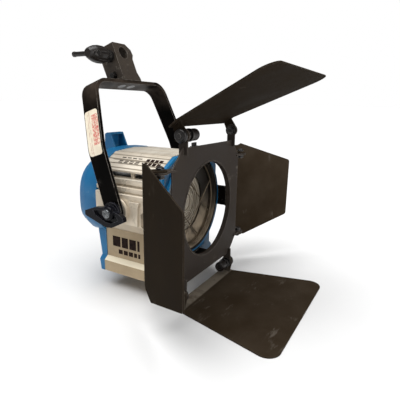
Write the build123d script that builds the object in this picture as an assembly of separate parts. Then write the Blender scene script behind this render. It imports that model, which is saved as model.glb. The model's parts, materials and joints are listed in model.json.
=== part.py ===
"""Fresnel spotlight with barn doors, stirrup and spigot socket.

Drawn in the lamp frame: Y = 0 is the barn-door plate, the lens looks along -Y,
+Z is up, X = 0 is the middle. Each piece is then moved so that the origin is the
centre of the spigot bore in the stirrup's clamp block. Millimetres.
"""
from build123d import *
from math import sin, cos, radians
import os

# ---------------------------------------------------------------- dimensions
LEAN = 18.3            # stirrup leans back from vertical, degrees
PIV_Y, PIV_Z = 82.0, 3.0   # tilt axis, and height of the lens axis
BORE_V = 197.0         # spigot bore above the tilt axis, along the stirrup
BORE_R = 8.0           # 16 mm spigot
KNOB_V = BORE_V - 2.5  # clamp screw crosses just below the bore centre
BORE_Y = PIV_Y + BORE_V * sin(radians(LEAN))
BORE_Z = PIV_Z + BORE_V * cos(radians(LEAN))

BAR_T, BAR_W = 4.5, 25.0   # stirrup flat bar
YOKE_HALF, YOKE_BEND = 86.2, 76.4
YOKE_TOP_HALF, YOKE_TOP = 68.0, 159.4

HOUSE_Y0, HOUSE_Y1 = 30.5, 120.0   # ribbed housing, front and rear ends
WALL = 2.6
BASE_TOP, BASE_BOT = -29.0, -89.0
BASE_IN, BASE_OUT = 60.0, 66.0

RING_R, RING_IN = 65.0, 60.0       # snout rim of the lens door
RING_Y = 20.5
LENS_R, LENS_Y = 40.0, 37.0

PLATE_Y0, PLATE_Y1 = -1.0, 0.5     # barn-door plate
PLATE_W, PLATE_H = 83.0, 82.0
OPEN_R = 60.0
DISC_R = 64.0
SHEET = 1.4

HINGE_Z = 95.5         # pivots of the top and bottom leaves, at Y = 0
HINGE_X, HINGE_XY = 99.0, 3.0      # pivots of the side leaves
FOLD_B, FOLD_C, SIDE_C = 4.35, 17.5, 20.0   # leaf fold lines from their pivots
LONG_L, LONG_IN, LONG_OUT = 127.0, 69.6, 100.4
SIDE_L, SIDE_IN, SIDE_OUT = 91.6, 72.7, 44.8
TOP_DEG, BOTTOM_DEG, NEAR_DEG, FAR_DEG = 24.4, 0.0, 31.5, 49.5

STRIP_P, STRIP_Q = 12.1, 3.3       # leaf strip behind the fold: back, and towards the pivot
BOLT_R, HOLE_R = 3.0, 3.05         # leaf hinge screws and their holes

LEAD_Z = -52.0         # focus spindle
LAMP_Y = 88.0          # lamp filament plane at rest
NOTCH_R = 64.0         # round notch in the base for the lens assembly
CATCH_X = 28.0         # roof catch, off centre

YOKE = Plane(origin=(0, PIV_Y, PIV_Z), x_dir=(1, 0, 0),
             z_dir=(0, -cos(radians(LEAN)), sin(radians(LEAN))))
os.makedirs("parts", exist_ok=True)


# ------------------------------------------------------------------- helpers
def out(name, shape):
    """Write one piece, moved into the part's own frame."""
    export_step(Pos(0, -BORE_Y, -BORE_Z) * shape, f"parts/{name}.step")


def poly(pts):
    return make_face(Polyline(*pts, close=True))


def mirrored(half):
    """Close a right-hand outline, top to bottom, with its mirror image."""
    return list(half) + [(-x, z) for x, z in reversed(half) if x > 1e-6]


def prism_x(pts, x0, x1):
    """Outline in (Y, Z), swept from x0 to x1."""
    return extrude(Plane.YZ.offset(x0) * poly(pts), amount=x1 - x0)


def prism_y(pts, y0, y1):
    """Outline in (X, Z), swept from y0 to y1."""
    return Rot(90, 0, 0) * Pos(0, 0, -y1) * extrude(poly(pts), amount=y1 - y0)


def prism_z(pts, z0, z1):
    """Outline in (X, Y), swept from z0 to z1."""
    return Pos(0, 0, z0) * extrude(poly(pts), amount=z1 - z0)


def box(x0, x1, y0, y1, z0, z1):
    return Pos((x0 + x1) / 2, (y0 + y1) / 2, (z0 + z1) / 2) * Box(x1 - x0, y1 - y0, z1 - z0)


def rod(a, b, r):
    """Round bar from point a to point b."""
    a, b = Vector(*a), Vector(*b)
    d = b - a
    return Plane(origin=a, z_dir=d) * Cylinder(r, d.length, align=(Align.CENTER, Align.CENTER, Align.MIN))


def tube_y(y0, y1, r1, r0, z=PIV_Z):
    """Round tube along Y."""
    return rod((0, y0, z), (0, y1, z), r1) - rod((0, y0 - 1, z), (0, y1 + 1, z), r0)


def hexagon(r):
    return [(r * cos(radians(60 * i)), r * sin(radians(60 * i))) for i in range(6)]


def nut_x(x0, x1, y, z, r):
    """Hexagon bar along X."""
    return prism_x([(y + a, z + b) for a, b in hexagon(r)], x0, x1)


# ------------------------------------------------------------------- stirrup
def yoke_outline():
    """Outer outline of the stirrup, top and bend corners rounded."""
    e = BAR_W / 2
    outer = poly([(-YOKE_HALF, -e), (-YOKE_HALF, YOKE_BEND), (-YOKE_TOP_HALF, YOKE_TOP),
                  (YOKE_TOP_HALF, YOKE_TOP), (YOKE_HALF, YOKE_BEND), (YOKE_HALF, -e)])
    return soften(outer, 22, 30)


def soften(face, r_top, r_bend):
    """Round the two top corners, then the two bends, of a stirrup outline."""
    face = fillet([v for v in face.vertices() if v.Y > YOKE_TOP - BAR_T - 1], r_top)
    return fillet([v for v in face.vertices() if YOKE_BEND - 5 < v.Y < YOKE_BEND + 1], r_bend)


def yoke_bar():
    """Bent flat bar: straight cheeks, splayed legs, flat top, round ends."""
    t, e = BAR_T, BAR_W / 2
    lean = (YOKE_HALF - YOKE_TOP_HALF) / (YOKE_TOP - YOKE_BEND)
    k = (1 + lean * lean) ** 0.5
    low = (k - 1) / lean * t
    inner_top = YOKE_TOP_HALF - t * k + lean * t
    inner = poly([(-YOKE_HALF + t, -e - 9), (-YOKE_HALF + t, YOKE_BEND - low), (-inner_top, YOKE_TOP - t),
                  (inner_top, YOKE_TOP - t), (YOKE_HALF - t, YOKE_BEND - low), (YOKE_HALF - t, -e - 9)])
    face = yoke_outline() - soften(inner, 22 - t, 30 + t)
    bar = Pos(0, 0, -e) * extrude(face, amount=2 * e)
    ends = Rot(0, 90, 0) * Cylinder(e, 220) + Pos(0, 100, 0) * Box(220, 200, 2 * e)
    bar = bar & ends
    bar -= Rot(0, 90, 0) * Cylinder(5.1, 220)
    for u in (-9, 9):
        bar -= Pos(u, YOKE_TOP, 0) * Rot(90, 0, 0) * Cylinder(3.2, 30)
        bar -= countersink(u)
    return YOKE * bar


def countersink(u):
    """Conical seat of a block bolt in the underside of the flat bar."""
    cone = Cone(5.6, 3.0, 2.8, align=(Align.CENTER, Align.CENTER, Align.MIN))
    return Pos(u, YOKE_TOP - BAR_T, 0) * Rot(-90, 0, 0) * cone


def clamp_block():
    """Cast block with a flared foot; 16 mm spigot bore, cross hole for the clamp screw."""
    v0, v1 = YOKE_TOP, YOKE_TOP + 50.5
    front = [(-19, v0), (19, v0), (19, v0 + 3), (15.5, v0 + 12), (15.5, v1 - 20), (19, v1 - 14),
             (17.5, v1 - 7), (9, v1), (-16, v1), (-16, v0 + 4), (-19, v0 + 3)]
    solid = Pos(0, 0, -20) * extrude(poly(front), amount=40)
    side = [(-13.5, v0), (13.0, v0), (9.4, v1), (-6, v1), (-17, v1 - 12)]
    side = extrude(Plane.YZ.offset(-30) * poly([(b, a) for a, b in side]), amount=60)
    block = solid & side
    block = fillet(block.edges().filter_by(Axis.Z).sort_by(Axis.Y)[-3:], 1.5)
    block -= Pos(0, BORE_V, 0) * Cylinder(BORE_R, 60)
    block -= Pos(-12, KNOB_V, 0) * Rot(0, 90, 0) * Cylinder(5.05, 24)
    block -= Pos(-18, v0 + 10, -2) * Box(9, 9, 10)
    for u in (-9, 9):
        block -= Pos(u, v0 + 7, 0) * Rot(90, 0, 0) * Cylinder(3.0, 14)
    return YOKE * block


def clamp_bush():
    """Threaded boss ring pressed into the block's left face."""
    upright = (Align.CENTER, Align.CENTER, Align.MIN)
    ring = Cylinder(8, 5.5) + Pos(0, 0, 2.75) * Cylinder(6.8, 1.2, align=upright)
    ring -= Cylinder(5.05, 30)
    return YOKE * Pos(-16 - 2.75, KNOB_V, 0) * Rot(0, -90, 0) * ring


def block_bolts():
    """Two countersunk bolts up through the bar, and a nut in the block's side recess."""
    bolts = []
    for u in (-9, 9):
        shank = Pos(u, YOKE_TOP + 4.75, 0) * Rot(-90, 0, 0) * Cylinder(3.0, 17.5)
        bolts.append(shank + countersink(u))
    nut = Pos(-20.5, YOKE_TOP + 10, -2) * Rot(0, 90, 0) * Rot(0, 0, 15) * extrude(poly(hexagon(4.1)), amount=6.5)
    return YOKE * Compound(children=[*bolts, nut])


def leg_label():
    """Rounded paper label that wraps over the bend of the near leg."""
    outer = yoke_outline()
    sleeve = extrude(Pos(-0.3, 0, 0) * outer, amount=24) - extrude(outer, amount=24)
    tag = fillet(poly([(0, 0), (54, 0), (54, 21.5), (0, 21.5)]).vertices(), 4)
    tag = Plane(origin=(-120, 69, 1.2), x_dir=(0, 1, 0), z_dir=(1, 0, 0)) * extrude(tag, amount=60)
    return YOKE * Pos(0, 0, -BAR_W / 2) * (sleeve & tag)


def pivot_washers():
    """Fibre friction washers between the cheeks and the housing bosses."""
    rings = []
    for s in (-1, 1):
        a, b = s * 80.5, s * (YOKE_HALF - BAR_T)
        ring = rod((a, PIV_Y, PIV_Z), (b, PIV_Y, PIV_Z), 14)
        rings.append(ring - rod((a - s, PIV_Y, PIV_Z), (b + s, PIV_Y, PIV_Z), 5.2))
    return Compound(children=rings)


def far_bolt():
    """Hexagon bolt and washer of the right-hand pivot."""
    w = rod((YOKE_HALF, PIV_Y, PIV_Z), (YOKE_HALF + 1.6, PIV_Y, PIV_Z), 11)
    head = nut_x(YOKE_HALF + 1.6, YOKE_HALF + 8, PIV_Y, PIV_Z, 8.5)
    shank = rod((70, PIV_Y, PIV_Z), (YOKE_HALF + 2, PIV_Y, PIV_Z), 5.0)
    return w + head + shank


def near_stud():
    """Threaded stud that the locking lever turns on."""
    return rod((-70, PIV_Y, PIV_Z), (-94.0, PIV_Y, PIV_Z), 5.0)


def lock_lever():
    """Wing-shaped tilt lock: raised rim round a pocket, domed hub."""
    pts = [(120.5, 1), (120.5, -5), (88, -15.2), (78, -14.5), (59.5, -5), (60, 0), (67, 4), (86, 9.5),
           (104, 7.2)]
    body = prism_x(pts, -94.5, -88.4)
    body = fillet(body.edges().filter_by(Axis.X), 1.6)
    pocket = prism_x([(107, 3), (103, -2.5), (88, -8.5), (79, -9.5), (67, -3.5), (74, 3), (98, 4.5)], -95.5, -91.5)
    hub = rod((-88.0, PIV_Y, PIV_Z), (-97.5, PIV_Y, PIV_Z), 8.6)
    hub = fillet(hub.edges().sort_by(Axis.X)[0], 2.5)
    plate = rod((-86.7, PIV_Y, PIV_Z), (-89.6, PIV_Y, PIV_Z), 12.0)
    lever = body - pocket + hub + plate
    return lever - rod((-80, PIV_Y, PIV_Z), (-94.5, PIV_Y, PIV_Z), 5.06)


def lever_cap():
    """Slotted cap screw pressed into the lever's hub."""
    cap = rod((-97.5, PIV_Y, PIV_Z), (-99.4, PIV_Y, PIV_Z), 5.4)
    cap = fillet(cap.edges().sort_by(Axis.X)[0], 1.2)
    return cap - Pos(-99.4, PIV_Y, PIV_Z) * Rot(35, 0, 0) * Box(2.0, 12, 1.4)


def clamp_shank():
    """Clamp screw: threaded shank and pad, drawn back from the spigot bore."""
    upright = (Align.CENTER, Align.CENTER, Align.MIN)
    return YOKE * Pos(-9.0, KNOB_V, 0) * Rot(0, -90, 0) * Cylinder(5.0, 29, align=upright)


def knob_axis_point(x):
    """Point on the clamp screw's axis."""
    return Vector(x, PIV_Y + KNOB_V * sin(radians(LEAN)), PIV_Z + KNOB_V * cos(radians(LEAN)))


def clamp_knob():
    """Fluted knob on the clamp screw, tapering to a nose that holds a cross bar."""
    prof = [(0, 25.5), (7.4, 25.5), (9.4, 27.5), (10.8, 32), (10.9, 39), (9.9, 45), (8.2, 49.5), (6.6, 53),
            (5.2, 55), (0, 55)]
    knob = Rot(0, -90, 0) * revolve(Plane.XZ * poly(prof), Axis.Z)
    for i in range(8):
        a = radians(45 * i + 10)
        knob -= Pos(-37, 12.6 * cos(a), 12.6 * sin(a)) * Rot(0, 90, 0) * Cylinder(2.8, 20)
    knob -= Pos(-38.0, 0, 0) * Rot(0, 90, 0) * Cylinder(5.05, 30)
    p = knob_axis_point(-48.5)
    hole = rod(p - Vector(0, 20, 0), p + Vector(0, 20, 0), 3.05)
    return YOKE * Pos(0, KNOB_V, 0) * knob - hole


def clamp_bar():
    """Sliding tommy bar through the knob's nose, slid to the rear."""
    p = knob_axis_point(-48.5)
    bar = rod(p - Vector(0, 10.6, 0), p + Vector(0, 29, 0), 3.0)
    for y in (-12.6, 28):
        bar += rod(p + Vector(0, y, 0), p + Vector(0, y + 2.6, 0), 3.4)
    return bar


# ------------------------------------------------------------------- housing
RIBBED = [(0, 70.0), (37, 67.5), (66.5, 50), (66.5, 48.2), (63, 47.6), (63, 40.4), (70, 39.4), (70, 34.2),
          (67.6, 33.2), (67.6, 31.6), (73.6, 30.6), (73.6, 25.8), (71.4, 24.8), (71.4, 23.4), (76, 22.4),
          (76, -14), (BASE_IN, BASE_TOP)]
SMOOTH_IN = [(0, 67.0), (36, 64.6), (60.4, 50), (60.4, 38), (66, 29), (73.4, 19), (73.4, -13), (58.0, BASE_TOP)]


def housing():
    """Ribbed aluminium extrusion, open below, with a row of vent slots each side."""
    shell = prism_y(mirrored(RIBBED), HOUSE_Y0, HOUSE_Y1) - prism_y(mirrored(SMOOTH_IN), HOUSE_Y0 - 1, HOUSE_Y1 + 1)
    for x in (7, 14, 21, 28, 34):
        z = 70 - x * 2.5 / 37
        for s in (-1, 1):
            shell -= box(s * x - 0.9, s * x + 0.9, HOUSE_Y0 - 1, HOUSE_Y1 + 1, z - 1.3, z + 3)
    for s in (-1, 1):
        for y0, y1 in ((35, 68), (73, 112)):
            shell -= box(min(s * 55, s * 69), max(s * 55, s * 69), y0, y1, 41.2, 46.9)
        for x in (44, 50, 56):
            shell -= box(s * x - 0.7, s * x + 0.7, 40, 112, 45, 61.4)
        shell -= rod((s * 60, PIV_Y, PIV_Z), (s * 90, PIV_Y, PIV_Z), 5.06)
    return shell


def pivot_bosses():
    """Turned boss plates that carry the tilt pivots."""
    both = []
    for s in (-1, 1):
        disc = rod((s * 76, PIV_Y, PIV_Z), (s * 80.5, PIV_Y, PIV_Z), 15.5)
        both.append(disc - rod((s * 70, PIV_Y, PIV_Z), (s * 90, PIV_Y, PIV_Z), 5.06))
    return Compound(children=both)


def side_gussets():
    """Wedge ribs cast beside the pivots, front edge upright."""
    both = []
    for s in (-1, 1):
        g = prism_x([(64, 16), (49, 16), (51, 10), (52, -13.5)], min(s * 76, s * 79.2), max(s * 76, s * 79.2))
        both.append(g)
    return Compound(children=both)


def side_brackets():
    """Lens-door side brackets with a curved rear outline, two screws each."""
    both = []
    for s in (-1, 1):
        pts = [(30.6, 26), (36, 21.5), (38, 17.5), (35, 15), (34, 12), (42, 7), (47, 3), (47, -12), (43, -14),
               (30.6, -14)]
        g = prism_x(pts, min(s * 76, s * 78.4), max(s * 76, s * 78.4))
        for z in (-4, 6):
            g -= rod((s * 70, 38, z), (s * 90, 38, z), 2.0)
        both.append(g)
    return Compound(children=both)


def bracket_screws():
    heads = []
    for s in (-1, 1):
        for z in (-4, 6):
            shank = rod((s * 76, 38, z), (s * 80.0, 38, z), 2.0)
            heads.append(shank + rod((s * 78.4, 38, z), (s * 80.2, 38, z), 3.6))
    return Compound(children=heads)


def lens_notch():
    """Round clearance for the lens and its barrel, cut in the front of the base."""
    return rod((0, 20, PIV_Z), (0, 46, PIV_Z), NOTCH_R)


def base_box():
    """Lower extrusion: side panels, sloped ledges and floor."""
    top, w = BASE_TOP - 0.5, 2.4
    half = [(0, top), (BASE_IN, top), (BASE_IN, -69.5), (BASE_OUT, -74.5), (BASE_OUT, BASE_BOT), (0, BASE_BOT)]
    core = [(0, top - w), (BASE_IN - w, top - w), (BASE_IN - w, -70.7), (BASE_OUT - w, -75.7),
            (BASE_OUT - w, BASE_BOT + w), (0, BASE_BOT + w)]
    b = prism_y(mirrored(half), 33, HOUSE_Y1) - prism_y(mirrored(core), 32, HOUSE_Y1 + 1)
    b -= box(-9, 9, 52, 116, BASE_TOP - 5, BASE_TOP + 1)
    for x in (-48, 48):
        b -= box(x - 5, x + 5, 60, 100, BASE_TOP - 5, BASE_TOP + 1)
    return b - lens_notch()


def base_front():
    """Front cover of the base, below the lens door."""
    half = [(0, BASE_TOP - 1), (BASE_IN, BASE_TOP - 1), (BASE_IN, -69.5), (BASE_OUT, -74.5),
            (BASE_OUT, BASE_BOT), (0, BASE_BOT)]
    return prism_y(mirrored(half), 30.5, 33) - lens_notch()


def base_rear():
    """Rear cover of the base; its back leans forward towards the bottom."""
    top, w = BASE_TOP - 5, BASE_IN + 1
    half = [(0, top), (w, top), (w, -69.5), (BASE_OUT + 0.5, -74.5), (BASE_OUT + 0.5, BASE_BOT), (0, BASE_BOT)]
    p = prism_y(mirrored(half), HOUSE_Y1, 140)
    wedge = prism_x([(HOUSE_Y1, BASE_TOP), (134, BASE_TOP), (126, BASE_BOT - 1), (HOUSE_Y1, BASE_BOT - 1)], -80, 80)
    hollow = prism_y(mirrored([(0, top - 2.5), (57, top - 2.5), (57, -84), (0, -84)]), HOUSE_Y1 - 1, HOUSE_Y1 + 4)
    p = (p & wedge) - hollow
    for screw in cover_screws().solids():
        p -= screw
    p -= rod((0, 110, LEAD_Z), (0, 150, LEAD_Z), 4.05)
    return p - rod((36, 110, -58), (36, 150, -58), 7.0)


REAR_SECTIONS = [(119.0, 1.0, 1.0, 10), (140.0, 1.0, 1.0, 10), (152.0, 0.96, 0.86, 8), (162.0, 0.84, 0.70, 6),
                 (168.5, 0.66, 0.52, 5), (171.5, 0.42, 0.30, 4)]   # y, width, height, centre height


def cover_outline():
    """Right half of the rear cover's rounded outline, from its crown to its foot."""
    half = []
    for deg in (0, 14, 27, 38, 48, 57, 65, 72, 78, 84, 90, 96, 102, 109, 117, 127):
        c, s, n = cos(radians(deg)), sin(radians(deg)), 2 / 2.8
        tall = 68.6 if deg <= 90 else 47.0
        half.append((76 * s ** n, 2 + tall * abs(c) ** n * (1 if deg <= 90 else -1)))
    return [p for p in half if p[1] > BASE_TOP - 4] + [(60.4, BASE_TOP - 5)]


def rear_dome(wall):
    """Lofted envelope of the rear cover, drawn in by a wall thickness."""
    g = 1 - wall / 58.0
    half = cover_outline()
    rings = []
    for y, kx, kz, zc in REAR_SECTIONS:
        ring = [(x * kx * g, zc + (z - zc) * kz * g) for x, z in half]
        outline = ring + [(-x, z) for x, z in reversed(ring) if x > 1e-6]
        rings.append(Plane(origin=(0, y - wall, 0), x_dir=(1, 0, 0), z_dir=(0, -1, 0)) * poly(outline))
    dome = loft(rings, ruled=True)
    return dome & box(-90, 90, HOUSE_Y1 - (1 if wall else 0), 180, -60, 90)


def rear_cover():
    """Blue cast rear cover, hollow, with louvre slots across its back."""
    cover = rear_dome(0) - rear_dome(2.6)
    for z in (24, 16, 8, 0, -8):
        cover -= box(-27, 27, 155, 175, z, z + 3.4)
    for screw in cover_screws().solids():
        cover -= screw
    return cover


def rear_hood():
    """Hollow hand hood on the rear cover's top, its open mouth raked forward."""
    side = [(162, 50), (160.5, 86.5), (157, 88.5), (151, 88.5), (141.5, 66), (141.5, 50)]
    hood = prism_x(side, -13.5, 13.5)
    hood -= prism_x([(158.6, 50), (158, 86.2), (140, 86.2), (120, 50)], -11.2, 11.2)
    return hood - rear_dome(0)


def cover_screws():
    """Pan-head screws of the rear cover and base covers."""
    heads = []
    for x in (-40, 40):
        for z in (28, -8):
            heads.append(rod((x, 163, z), (x, 171.2, z), 3.4))
    for x in (-52, 52):
        for z in (-42, -80):
            y = 134 - (BASE_TOP - z) * 8 / 61
            heads.append(rod((x, y - 5, z), (x, y + 1.8, z), 3.2))
    return Compound(children=heads)


def liner():
    """Thin folded heat shield inside the housing, open at both ends."""
    o = [(0, 60.5), (34, 58.5), (53, 47), (53, BASE_TOP + 3.5)]
    i = [(0, 59.3), (33.6, 57.3), (51.8, 46.3), (51.8, BASE_TOP + 2.0)]
    sheet = prism_y(mirrored(o), 46, 116) - prism_y(mirrored(i), 45, 117)
    for s in (-1, 1):
        for y in (58, 74, 90, 106):
            sheet -= box(min(s * 45, s * 56), max(s * 45, s * 56), y - 5, y + 5, 20, 34)
    return sheet


def liner_feet():
    """Spacers that hold the heat shield off the housing floor."""
    feet = []
    for s in (-1, 1):
        for y in (52, 110):
            foot = box(min(s * 52.4, s * 57.6), max(s * 52.4, s * 57.6), y - 4, y + 4, BASE_TOP - 0.5, BASE_TOP + 3.5)
            rebate = box(min(s * 51, s * 53), max(s * 51, s * 53), y - 5, y + 5, BASE_TOP + 1.9, BASE_TOP + 5)
            feet.append(foot - rebate)
    return Compound(children=feet)


def cable_gland():
    """Screwed cable gland in the rear of the base, with its clamping nut."""
    body = rod((36, 119, -58), (36, 141, -58), 6.95)
    flange = Rot(90, 0, 0) * Pos(36, -58, -138.2) * extrude(poly(hexagon(11)), amount=6)
    nose = rod((36, 138, -58), (36, 149, -58), 9.2)
    nose = fillet(nose.edges().sort_by(Axis.Y)[-1], 2.5)
    return body + flange + nose - rod((36, 100, -58), (36, 160, -58), 4.5)


def lead_bearing():
    """Bearing block and thrust collar of the focus spindle."""
    b = box(-9, 9, 34, 40, LEAD_Z - 9, LEAD_Z + 9) - rod((0, 30, LEAD_Z), (0, 45, LEAD_Z), 3.05)
    foot = box(-9, 9, 34, 48, BASE_BOT + 2.4, BASE_BOT + 5.4) + box(-9, 9, 34, 38, BASE_BOT + 2.4, LEAD_Z - 8.9)
    return b + foot


# ------------------------------------------------------- focus carriage, lamp
def focus_spindle():
    """Lead screw with a coarse thread form of stacked collars."""
    s = rod((0, 33.5, LEAD_Z), (0, 41, LEAD_Z), 3.0) + rod((0, 41, LEAD_Z), (0, 118, LEAD_Z), 4.4)
    for i in range(19):
        y = 44 + 3.8 * i
        s -= rod((0, y, LEAD_Z), (0, y + 1.6, LEAD_Z), 6) - rod((0, y - 1, LEAD_Z), (0, y + 3, LEAD_Z), 3.7)
    s += rod((0, 118, LEAD_Z), (0, 134, LEAD_Z), 4.0)
    return s


def focus_knob():
    """Fluted focus knob behind the base."""
    k = rod((0, 133.2, LEAD_Z), (0, 147, LEAD_Z), 13.0)
    k = fillet(k.edges().sort_by(Axis.Y)[-1], 2.5)
    for i in range(12):
        a = radians(30 * i)
        k -= rod((14.6 * cos(a), 132, LEAD_Z + 14.6 * sin(a)), (14.6 * cos(a), 149, LEAD_Z + 14.6 * sin(a)), 2.6)
    k -= rod((0, 120, LEAD_Z), (0, 141, LEAD_Z), 4.0)
    return k - box(-0.8, 0.8, 145.6, 150, LEAD_Z + 1, LEAD_Z + 11)


def carriage():
    """Lamp carriage: top plate, web through the floor slot, nut on the spindle, reflector stem."""
    plate = box(-24, 24, LAMP_Y - 22, LAMP_Y + 31, BASE_TOP + 3, BASE_TOP + 6)
    web = box(-3, 3, LAMP_Y - 10, LAMP_Y + 10, LEAD_Z + 7, BASE_TOP + 4)
    nut = box(-9, 9, LAMP_Y - 10, LAMP_Y + 10, LEAD_Z - 9, LEAD_Z + 8)
    stem = box(-7, 7, LAMP_Y + 28.3, LAMP_Y + 31, BASE_TOP + 5, PIV_Z + 6)
    return plate + web + nut + stem - rod((0, LAMP_Y - 20, LEAD_Z), (0, LAMP_Y + 20, LEAD_Z), 4.5)


def lampholder():
    """Ceramic two-pin lampholder."""
    h = box(-13, 13, LAMP_Y - 9, LAMP_Y + 9, BASE_TOP + 6, -10)
    h = fillet(h.edges().filter_by(Axis.Z), 3)
    for x in (-5, 5):
        h -= rod((x, LAMP_Y, -22), (x, LAMP_Y, -5), 1.6)
    return h


def lamp_pins():
    return Compound(children=[rod((x, LAMP_Y, -20), (x, LAMP_Y, -8), 1.55) for x in (-5, 5)])


def lamp_globe():
    """Tubular quartz lamp with a pinched foot."""
    foot = box(-9, 9, LAMP_Y - 4, LAMP_Y + 4, -8, -2)
    tube = rod((0, LAMP_Y, -2.0), (0, LAMP_Y, 20), 7.5)
    tube = fillet(tube.edges().sort_by(Axis.Z)[-1], 6.5)
    return foot + tube


def reflector():
    """Spun spherical reflector behind the lamp, riveted to the carriage stem."""
    r, c = 46.0, LAMP_Y - 18
    inner = Pos(0, c, PIV_Z) * Sphere(r - 1.2)
    cap = (Pos(0, c, PIV_Z) * Sphere(r) - inner) & rod((0, LAMP_Y + 14, PIV_Z), (0, LAMP_Y + 40, PIV_Z), 25)
    pad = rod((0, LAMP_Y + 25, PIV_Z), (0, LAMP_Y + 28.3, PIV_Z), 5) - inner
    return cap + pad


# ----------------------------------------------------------------- lens door
def front_casting():
    """Cast lens door: bevelled frame and round snout."""
    half = [(0, 67.5), (36.5, 67.5), (58, 55.6), (64.5, 46), (64.5, -20), (56, -33), (44, -47.5), (30, -57.5),
            (0, -57.5)]
    frame = prism_y(mirrored(half), 24.0, 30.0)
    frame = chamfer(frame.faces().sort_by(Axis.Y)[0].edges(), 1.6)
    d = frame + rod((0, RING_Y, PIV_Z), (0, 30, PIV_Z), RING_R)
    d -= rod((0, RING_Y - 1, PIV_Z), (0, 31, PIV_Z), RING_IN)
    for x0 in (-23.5, 15.5):
        d += box(x0, x0 + 8, 24.2, 29, -63.5, -57) + rod((x0, 26.5, -63.5), (x0 + 8, 26.5, -63.5), 3.2)
    return d - rod((-60, 26.5, -63.5), (60, 26.5, -63.5), 2.05)


def snout_barrel():
    """Sheet barrel between the snout rim and the lens."""
    t = tube_y(22, 33.5, RING_IN - 0.02, RING_IN - 1.6)
    cone = rod((0, 32.3, PIV_Z), (0, 33.5, PIV_Z), RING_IN - 0.5) - rod((0, 30, PIV_Z), (0, 36, PIV_Z), LENS_R - 2)
    return t + cone


def lens():
    """Moulded fresnel lens: flat back, stepped front."""
    body = rod((0, 36.0, PIV_Z), (0, 41.0, PIV_Z), LENS_R)
    steps = [[(0, 36.0), (12.3, 36.0), (0, 33.6)]]
    steps += [[(37.5 - 4.2 * i - 4.2, 36.0), (37.5 - 4.2 * i, 36.0), (33.3 - 4.2 * i, 34.6)] for i in range(6)]
    for step in steps:
        body += Pos(0, 0, PIV_Z) * revolve(Plane.XY * poly(step), Axis.Y)
    return body


def lens_ring():
    """Rolled ring that clasps the lens rim."""
    return tube_y(41.0, 42.5, LENS_R + 2.5, LENS_R - 3) + tube_y(33.5, 42.5, LENS_R + 2.5, LENS_R + 0.3)


def wire_guard():
    """Crossed safety wires in front of the lens, brazed to a hoop."""
    hoop = Pos(0, 27.5, PIV_Z) * Rot(90, 0, 0) * Torus(RING_IN - 2.8, 0.9)
    wires = hoop
    half = RING_IN - 2.4
    for off in (-20, 20):
        c = (half * half - off * off) ** 0.5
        for d in (-1, 1):
            k = 0.7071
            a = (k * (off - c), 27.5 + 0.8 * d, PIV_Z + d * k * (off + c))
            b = (k * (off + c), 27.5 + 0.8 * d, PIV_Z + d * k * (off - c))
            wires += rod(a, b, 0.85)
    return wires


EARS = [(0, 14, 2.5), (180, 14, 2.5), (270, 15, 0)]   # clock angle, half width, rise


def accessory_ears():
    """Three U-channel ears, at three, six and nine o'clock."""
    ears = []
    for deg, w, dz in EARS:
        body = rod((0, 1.4, 0), (0, 24.0, 0), 68.0) - rod((0, 0, 0), (0, 30, 0), DISC_R + 0.6)
        lips = rod((0, 1.4, 0), (0, 2.7, 0), 66) - rod((0, 0, 0), (0, 5, 0), 62.3)
        lips += rod((0, 5.9, 0), (0, 7.2, 0), 66) - rod((0, 4, 0), (0, 9, 0), 62.3)
        root = rod((0, RING_Y, 0), (0, 24.0, 0), 66)
        sector = Pos(0, 0, dz) * Rot(0, -deg, 0) * box(40, 80, 0, 30, -w, w)
        ear = ((body + lips + root) & sector) - rod((0, RING_Y - 1, PIV_Z), (0, 31, PIV_Z), RING_R)
        for a, b in rivet_lines(deg, dz):
            ear -= rod(a, b, 2.2)
        ears.append(ear)
    return Compound(children=ears)


def rivet_lines(deg, dz):
    """Start and end of the two rivets of one ear."""
    turn = Location((0, 0, dz), (0, -deg, 0))
    return [((turn * Pos(65.0, 12, a)).position, (turn * Pos(69.4, 12, a)).position) for a in (-8, 8)]


def ear_rivets():
    rivets = []
    for deg, _, dz in EARS:
        rivets += [rod(a, b, 2.2) for a, b in rivet_lines(deg, dz)]
    return Compound(children=rivets)


def door_latch_post():
    """Bracket on the snout's top that carries the accessory latch."""
    b = box(-9, 9, 20.5, 24.0, 62, 73.5) - rod((0, 20, PIV_Z), (0, 31, PIV_Z), RING_R)
    for s in (-1, 1):
        b += box(s * 8 - 1, s * 8 + 1, 15.5, 21, 69.5, 75.5)
    return b - rod((-12, 18, 72.5), (12, 18, 72.5), 1.55)


def latch_pin():
    return rod((-9.6, 18, 72.5), (9.6, 18, 72.5), 1.5)


def accessory_latch():
    """Spring latch that keeps the doors in the ears; lifts to release them."""
    arm = box(-6.6, 6.6, 4.0, 18, 70.6, 72.6)
    hook = box(-6.6, 6.6, 4.0, 5.4, 65.2, 71)
    tab = box(-6.6, 6.6, 15, 19, 71, 74.4)
    return arm + hook + tab + rod((-6.6, 18, 72.5), (6.6, 18, 72.5), 2.3) - rod((-9, 18, 72.5), (9, 18, 72.5), 1.56)


def door_hinge_pin():
    return rod((-34, 26.5, -63.5), (34, 26.5, -63.5), 2.0)


def door_hinge_lugs():
    """Body-side knuckles of the lens door."""
    lugs = []
    for x0 in (-33, 24.5):
        k = box(x0, x0 + 8.5, 24, 30.5, -66.5, -61) + rod((x0, 26.5, -63.5), (x0 + 8.5, 26.5, -63.5), 3.2)
        lugs.append(k - rod((-60, 26.5, -63.5), (60, 26.5, -63.5), 2.02))
    return Compound(children=lugs)


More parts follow.
